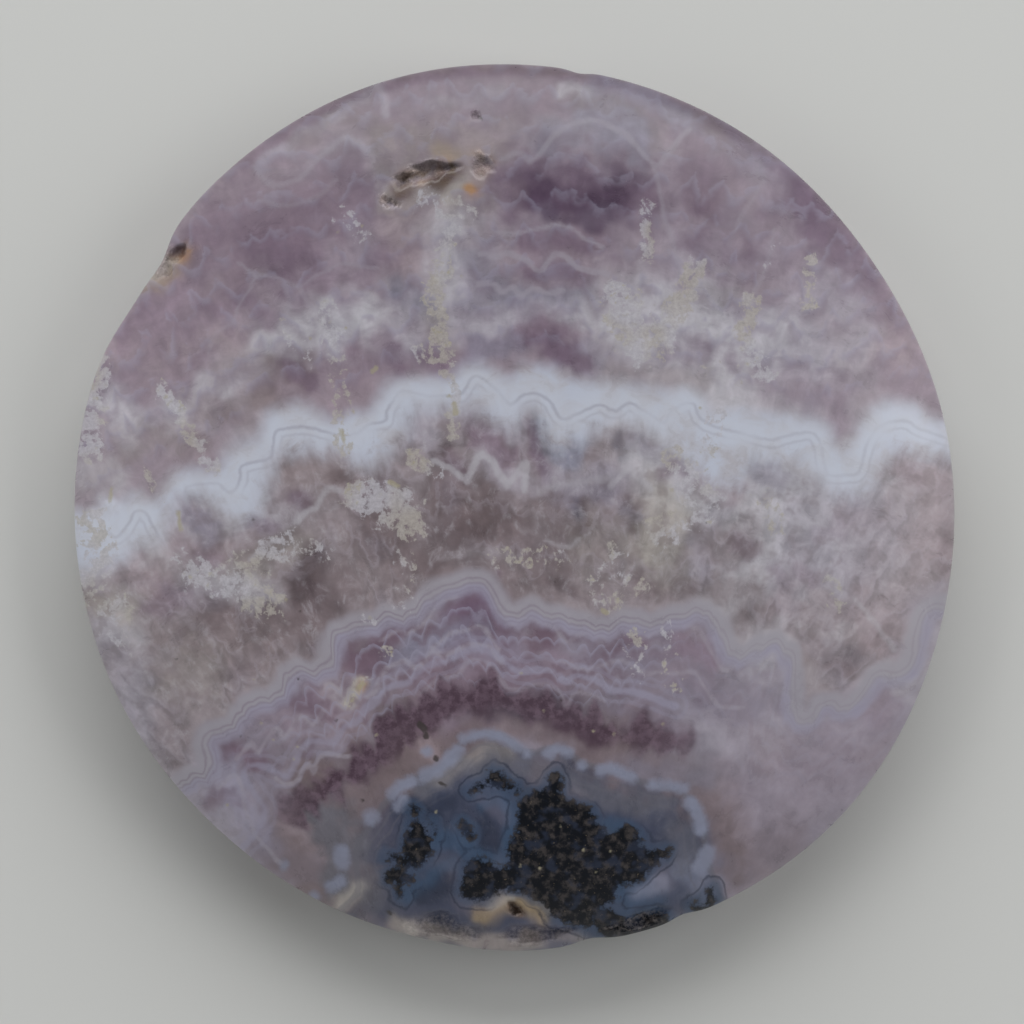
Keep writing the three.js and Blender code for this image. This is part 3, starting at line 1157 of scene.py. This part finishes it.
class Value:
    """A number, place or colour in a tree of shader nodes. Sums, products and calls on it add nodes."""

    def __init__(self, socket):
        self.socket = socket

    def node(self, kind, inputs, **settings):
        return add_node(self.socket.id_data, kind, inputs, **settings)

    def math(self, operation, other=0.0):
        return self.node("Math", {0: self, 1: other}, operation=operation)

    def __add__(self, other):
        return self.math("ADD", other)

    def __sub__(self, other):
        return self.math("SUBTRACT", other)

    def __mul__(self, other):
        return self.math("MULTIPLY", other)

    def __rtruediv__(self, other):
        return self.node("Math", {0: other, 1: self}, operation="DIVIDE")

    def __abs__(self):
        return self.math("ABSOLUTE")

    def moved(self, shift):
        """A place shifted."""
        return self.node("VectorMath", {0: self, 1: shift}, operation="ADD")

    def scaled(self, factors):
        """A place multiplied along each axis."""
        return self.node("VectorMath", {0: self, 1: factors}, operation="MULTIPLY")

    def parts(self):
        """The three numbers of a place."""
        first = self.node("SeparateXYZ", {0: self})
        return [Value(socket) for socket in first.socket.node.outputs]

    def step(self, low, high):
        """0 at low and beyond it, 1 at high and beyond it, smooth between."""
        inputs = {0: self, 1: low, 2: high, 3: 0.0, 4: 1.0}
        return self.node("MapRange", inputs, interpolation_type="SMOOTHSTEP")

    def spread(self, low, high):
        """Turns 0 to 1 into low to high."""
        return self.node("MapRange", {0: self, 1: 0.0, 2: 1.0, 3: low, 4: high})

    def line(self, middle, half_width, core=0.0):
        """1 where the value is within core of the middle, 0 from half_width away on, soft between."""
        return abs(self + -middle).step(half_width, core)

    def noise(self, scale, detail, roughness=0.55):
        """Cloudy noise over a place, from 0 to 1, about 0.5 on average."""
        inputs = {"Vector": self, "Scale": scale, "Detail": detail, "Roughness": roughness}
        return self.node("TexNoise", inputs, output="Fac")

    def jitter(self, strength):
        """A noise made to swing about 0, by strength in all."""
        return (self + -0.5) * strength

    def mix(self, under, over):
        """The colour under where the value is 0, the colour over where it is 1."""
        inputs = {0: self, 6: under, 7: over}
        return self.node("Mix", inputs, output=2, data_type="RGBA")

    def lay(self, tone, share):
        """The colour with a named tone laid over it, as strongly as share says."""
        return share.mix(self, paint(tone))

    def shade(self, factor):
        """The colour made lighter or darker by a factor."""
        return self.node("VectorMath", {0: self, "Scale": factor}, operation="SCALE")


def feed(socket, value):
    if isinstance(value, Value):
        socket.id_data.links.new(value.socket, socket)
    else:
        socket.default_value = value


def add_node(tree, kind, inputs, output=0, **settings):
    """Adds a shader node and returns what comes out of it."""
    node = tree.nodes.new("ShaderNode" + kind)
    for name, value in settings.items():
        setattr(node, name, value)
    for socket, value in inputs.items():
        feed(node.inputs[socket], value)
    return Value(node.outputs[output])


def paint(tone):
    """A named tone as a node's colour."""
    return (*(float(v) for v in linear(TONES[tone])), 1.0)


def shared_noises(plan):
    """The noises that all the layers draw on, from broad clouds to grit."""
    # places counted round and away from where the crystals grow from, in millimetres
    centre = plan.moved((-CRYSTAL_CENTRE[0], -CRYSTAL_CENTRE[1], 0.0))
    right, far, deep = centre.parts()
    turn = right.math("ARCTAN2", far) * CRYSTAL_REACH
    away = centre.node("VectorMath", {0: centre}, output="Value", operation="LENGTH")
    grown = centre.node("CombineXYZ", {0: turn, 1: away, 2: deep})

    bent = plan.node("TexNoise", {"Vector": plan, "Scale": 0.7, "Detail": 1.0}, output="Color")
    warped = grown.moved(bent.scaled((1.1, 1.1, 1.1)))
    humps = grown.scaled((0.9, 0.15, 0.4)).noise(1.0, 0.0)
    return {
        "broad": plan.noise(0.33, 1.0),
        "patch": plan.moved((7.0, -4.0, 3.0)).noise(0.42, 1.0),
        "cloud": warped.scaled((0.62, 0.9, 0.7)).noise(1.0, 4.0, 0.6),
        "soft": plan.noise(1.15, 2.0),
        "arches": abs(humps + -0.5),
        "fine": plan.moved((2.0, 6.0, 1.0)).noise(2.7, 3.0, 0.6),
        "grit": plan.noise(6.0, 2.0, 0.7),
        "clump": warped.scaled((2.4, 1.7, 1.6)).noise(1.0, 4.0, 0.68),
        "crystal": grown.scaled((2.0, 0.4, 1.0)).noise(1.0, 2.0),
    }


def add_clouds(colour, at):
    """Lighter and darker, rosier and bluer clouds in the quartz, with whitish flecks in its upper part."""
    colour = colour.shade(at.cloud.spread(0.62, 1.38))
    grain = at.crystal.jitter(0.4) + at.clump.jitter(0.4)
    grain = grain * at.lace_line.step(0.0, -0.6).spread(0.3, 1.0)
    colour = colour.shade(grain + 1.0)
    colour = colour.lay("rose", at.broad.step(0.52, 0.7) * 0.2)
    colour = colour.lay("violet_grey", at.patch.step(0.54, 0.7) * 0.2)
    middle = at.white_low.step(-0.2, 0.8) * at.lace_line.step(0.0, -0.4)
    colour = colour.lay("umber", at.soft.step(0.5, 0.36) * middle * 0.28)
    flecks = at.clump.step(0.46, 0.72) * at.soft.step(0.42, 0.6)
    return colour.lay("milk", flecks * middle.spread(0.05, 0.36) * at.right.spread(1.0, 0.5))


def add_waves(colour, at):
    """Faint scalloped waves in the purple quartz above the white band."""
    rows = at.white_top * 0.62 + at.arches * -2.4 + at.cloud.jitter(0.9)
    row = (rows + at.soft.jitter(0.5)).math("FRACT")
    here = at.white_top.step(-0.4, -1.6) * at.soft.step(0.36, 0.56)
    body = row.step(0.06, 0.3) * row.step(0.95, 0.4) * here
    edge = row.step(0.0, 0.14) * row.step(0.5, 0.12) * here
    return colour.lay("plum", body * 0.3).lay("lace_lilac", edge * 0.34)


def add_tips(colour, at):
    """Rows of pointed crystal tips, each with a pale edge and a darker body."""
    rows = at.white_line * 0.5 + at.arches * -2.4
    row = (rows + at.cloud.jitter(1.6)).math("FRACT")
    here = at.white_low.step(-0.4, 0.4) * at.lace_line.step(0.0, -0.5) * at.broad.step(0.36, 0.56)
    body = row.step(0.1, 0.3) * row.step(0.95, 0.4) * here
    edge = row.step(0.0, 0.06) * row.step(0.36, 0.08) * here
    return colour.shade(body.spread(1.04, 0.84)).lay("pale_lilac", edge * 0.2)


def add_veins(colour, at):
    """The pale veins, whiter between the white band and the lace."""
    drawn_here = at.vein.step(0.05, 0.6) * at.fine.spread(0.4, 1.2)
    middle = at.white_low.step(-0.2, 0.2) * at.lace_line.step(0.2, -0.2)
    pale = middle.mix(paint("pale_lilac"), paint("milk"))
    return (drawn_here * middle.spread(0.65, 0.75)).mix(colour, pale)


def add_white_band(colour, at):
    """The white band: soft above, with fine grey lines in it, and run out into crystals below."""
    top = at.white_top + at.soft.jitter(0.5)
    ragged = at.white_low + at.crystal.jitter(-0.9) + at.fine.jitter(-0.4)
    gaps = at.clump.step(0.5, 0.3) * at.white_line.step(0.0, 1.0)
    share = top.step(-0.35, 0.75) * ragged.step(1.0, -0.6) * gaps.spread(1.0, 0.6)
    white = at.cloud.step(0.3, 0.6).mix(paint("milk"), paint("ice"))
    white = white.lay("frost", abs(at.white_line).step(1.3, 0.1) * 0.6)
    colour = (share * 0.95).mix(colour, white)

    distance = at.white_line + at.fine.jitter(0.16)
    strength = at.patch.step(0.36, 0.6)
    hair = distance.line(0.0, 0.14) * strength.spread(0.1, 0.36) * share
    second = distance.line(0.34, 0.12) * strength * share
    colour = colour.lay("violet_grey", hair * at.right.spread(1.0, 0.6))
    return colour.lay("lavender", second * 0.22)


def add_lace(colour, at):
    """The scalloped lace bands: a pale one, hair lines, a lilac one, and repeats over purple further in."""
    inner = at.lace_line + (at.arches + -0.1) * 0.8 + at.fine.jitter(0.12)
    pale = inner.step(-0.34, 0.16) * inner.step(0.95, 0.5) * at.cloud.spread(0.55, 1.1)
    lilac = inner.step(0.45, 0.7) * inner.step(1.25, 0.8) * at.cloud.spread(0.0, 1.3)
    colour = colour.lay("lace_grey", pale).lay("lace_lilac", lilac)
    for place, width, strength in LACE_HAIR_LINES:
        uneven = at.patch.spread(0.3, 1.4) * at.right.spread(0.6, 0.25)
        colour = colour.lay("plum", inner.line(place, width) * uneven * strength)

    layer = (inner * 1.3 + at.arches * 1.6 + at.soft.jitter(0.5)).math("FRACT")
    reach = inner.step(0.9, 1.2) * inner.step(4.6, 3.2) * at.aside.spread(1.0, 0.3)
    tips = layer.step(0.2, 0.5) * layer.step(1.0, 0.7) * reach
    edge = layer.step(0.0, 0.06) * layer.step(0.36, 0.08) * reach
    colour = colour.lay("claret", tips * at.soft.step(0.4, 0.62) * 0.5)
    return colour.lay("lace_lilac", edge * at.fine.spread(0.0, 0.9))


def add_second_lace(colour, at):
    """A lilac line inside the lace, with a fainter one at each side."""
    away = at.second_lace + at.soft.jitter(0.4)
    patchy = at.patch.spread(0.3, 1.3)
    colour = colour.lay("lace_lilac", away.step(0.24, 0.04) * patchy * 0.75)
    return colour.lay("lace_lilac", away.line(0.5, 0.14, 0.049) * patchy * 0.3)


def add_wine_arc(colour, at):
    """The arc of dark purple crystal tips round the core."""
    depth = at.wine_arc + ((at.arches + -0.12) * 2.4 + at.soft.jitter(0.9))
    deep = at.fine.step(0.36, 0.64).mix(paint("wine"), paint("claret"))
    deep = deep.lay("wine", depth.step(0.1, 0.7) * 0.5)
    faded = at.core.step(-0.5, -1.7) * at.patch.spread(0.6, 1.25) * at.aside.spread(1.0, 0.55)
    return (depth.step(-0.3, 0.35) * faded).mix(colour, deep)


def add_core(colour, at):
    """The blue-grey chalcedony of the core, with its pale rim, rings and beads."""
    depth = at.core + at.soft.jitter(0.35)
    rings = (depth * 15.0).math("SINE").step(0.3, 1.0)
    rings = rings * depth.step(0.1, 0.4) * depth.step(1.6, 1.0) * at.cloud
    bead = at.bead + at.fine.jitter(0.34)
    colour = colour.lay("core_grey", depth.line(0.05, 0.22, 0.077) * 0.5)
    colour = colour.lay("core_grey", rings * 0.5)
    return colour.lay("periwinkle", bead.step(-0.18, 0.2) * at.soft.spread(0.4, 1.1))


def add_ink(colour, at):
    """The black mineral: ragged, with brown grains and painted glints, a steel-blue halo and a thin dark
    ring.
    """
    halo = at.ink + (at.soft.jitter(0.4) + at.fine.jitter(0.2))
    ring = halo.line(-0.42, 0.1) * at.patch.step(0.3, 0.6)
    colour = colour.lay("steel", halo.step(-0.55, -0.1) * 0.55).lay("blue_ink", ring * 0.6)

    depth = at.ink + at.fine.jitter(1.1)
    black = at.fine.step(0.44, 0.7).mix(paint("ink"), paint("ink_brown"))
    black = black.shade(at.soft.spread(0.2, 1.8)).lay("blue_ink", at.soft.step(0.5, 0.66) * 0.8)
    cover = depth.step(-0.14, 0.12)
    # pale specks painted over the mineral's grains stand for the glints of light off them
    painted_sparkle = at.grit.step(0.64, 0.74) * depth.step(0.1, 0.3)
    return (cover * 0.97).mix(colour, black).lay("sand", painted_sparkle * 0.3), cover


def add_moss(colour, at):
    """Pale, branching moss with yellow specks."""
    grown = (at.clump + at.fine) * 0.5 - at.moss.spread(0.72, 0.4)
    cover = grown.step(-0.02, 0.06)
    pale = at.patch.step(0.4, 0.6).mix(paint("cream"), paint("milk")).shade(at.grit.spread(0.6, 1.4))
    yellow = at.fine.step(0.6, 0.68) * at.broad.step(0.5, 0.62)
    return (cover * 0.75).mix(colour, pale).lay("olive", yellow * cover * 0.5)


def add_specks(colour, at):
    """Tiny specks, dark ones and gold ones; the gold ones on the black mineral are painted glints."""
    dark = (at.spot + at.fine.jitter(0.1)).step(-0.06, 0.04)
    # gold specks in the stone, and on the black mineral painted glints
    gold_and_glint = (at.glint + at.fine.jitter(0.2)).step(-0.06, 0.06)
    return colour.lay("ink_brown", dark * 0.85).lay("olive", gold_and_glint * 0.7)


def add_wear(colour, at):
    """The lapped back and edge, a little chalky, and raw, speckled stone in the hollows and at the rim."""
    lapped = at.buried.step(0.5, 2.4)
    colour = colour.lay("chalk", lapped * at.cloud.spread(0.0, 0.6))
    raw = (at.sunk + at.fine.jitter(0.3)).step(0.0, 0.5)
    colour = colour.lay("chalk", raw * at.grit.step(0.4, 0.6) * 0.3)
    speckle = at.fine.jitter(0.9) + at.grit.jitter(1.2)
    return colour.shade(speckle * raw + 1.0)


def stone_material():
    material = bpy.data.materials.new("agate")
    material.use_nodes = True
    tree = material.node_tree
    shader = tree.nodes["Principled BSDF"]

    # "at" holds the values at a place of the stone: the noises, and what is stored on the mesh
    plan = add_node(tree, "Attribute", {}, output="Vector", attribute_name="plan")
    at = SimpleNamespace(**shared_noises(plan))
    for name in FIELDS:
        setattr(at, name, add_node(tree, "Attribute", {}, output="Fac", attribute_name=name))
    across = plan.parts()[0]
    at.right = across.step(4.0, 12.0)
    at.aside = abs(across + 2.0).step(6.0, 10.0)

    colour = add_node(tree, "Attribute", {}, output="Vector", attribute_name="tint")
    for add in (add_clouds, add_waves, add_tips, add_veins, add_white_band, add_lace, add_second_lace,
                add_wine_arc, add_core):
        colour = add(colour, at)
    colour, black = add_ink(colour, at)
    for add in (add_moss, add_specks, add_wear):
        colour = add(colour, at)
    feed(shader.inputs["Base Color"], colour.shade(1.0 / at.light))

    dulled = at.sunk.step(0.0, 0.3).math("MAXIMUM", at.buried.step(0.2, 2.2))
    polish = at.cloud.spread(0.22, 0.36) + black * 0.12
    feed(shader.inputs["Roughness"], polish.math("MAXIMUM", dulled * 0.8))
    shader.inputs["Specular IOR Level"].default_value = 0.3

    relief = at.grit * dulled.spread(0.04, 1.0)
    bump = {"Height": relief, "Strength": 0.5, "Distance": 0.00012}
    feed(shader.inputs["Normal"], add_node(tree, "Bump", bump, output="Normal"))
    return material


# The room

def make_floor():
    half = FLOOR_SIZE / 2
    mesh = bpy.data.meshes.new("floor")
    corners = [(-half, -half, 0), (half, -half, 0), (half, half, 0), (-half, half, 0)]
    mesh.from_pydata(corners, [], [(0, 1, 2, 3)])
    floor = bpy.data.objects.new("floor", mesh)
    bpy.context.scene.collection.objects.link(floor)
    material = bpy.data.materials.new("floor")
    material.use_nodes = True
    shader = material.node_tree.nodes["Principled BSDF"]
    shader.inputs["Base Color"].default_value = FLOOR_COLOUR
    shader.inputs["Roughness"].default_value = 0.9
    shader.inputs["Specular IOR Level"].default_value = 0.1
    mesh.materials.append(material)


def make_light(name, place, size, power):
    light = bpy.data.lights.new(name, "AREA")
    light.shape = "RECTANGLE"
    light.size, light.size_y = size
    light.energy = power
    light.color = LIGHT_COLOUR
    lamp = bpy.data.objects.new(name, light)
    lamp.location = place
    lamp.rotation_euler = (-Vector(place)).to_track_quat("-Z", "Y").to_euler()
    bpy.context.scene.collection.objects.link(lamp)


def make_sky():
    """A dim room, darkest overhead and brighter towards the horizon."""
    world = bpy.data.worlds.new("room")
    world.use_nodes = True
    up = add_node(world.node_tree, "TexCoord", {}, output="Generated").parts()[2]
    low = up.step(0.9, 0.0) * SKY_LOW
    high = up.step(0.3, 1.0) * SKY_HIGH
    background = world.node_tree.nodes["Background"]
    background.inputs["Color"].default_value = (*LIGHT_COLOUR, 1)
    feed(background.inputs["Strength"], low + high)
    bpy.context.scene.world = world


def make_room():
    make_floor()
    make_sky()
    for name, place, size, power in LAMPS:
        make_light(name, place, size, power)
    bpy.context.scene.view_settings.view_transform = "Standard"


def make_camera():
    camera = bpy.data.cameras.new("camera")
    camera.sensor_width = SENSOR
    camera.lens = SENSOR * (CAMERA_HEIGHT - GIRDLE) * PIXELS_PER_MM / PIXELS
    camera.clip_start = 0.01
    camera.clip_end = 10
    viewer = bpy.data.objects.new("camera", camera)
    aside = (PIXELS / 2 - CENTRE_PIXEL[0]) / PIXELS_PER_MM
    ahead = (CENTRE_PIXEL[1] - PIXELS / 2) / PIXELS_PER_MM
    viewer.location = (aside * MM, ahead * MM, CAMERA_HEIGHT * MM)
    bpy.context.scene.collection.objects.link(viewer)
    bpy.context.scene.camera = viewer


make_camera()
make_room()
stone = make_stone()
stone.data.materials.append(stone_material())
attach(stone, "root")
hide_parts("agate")
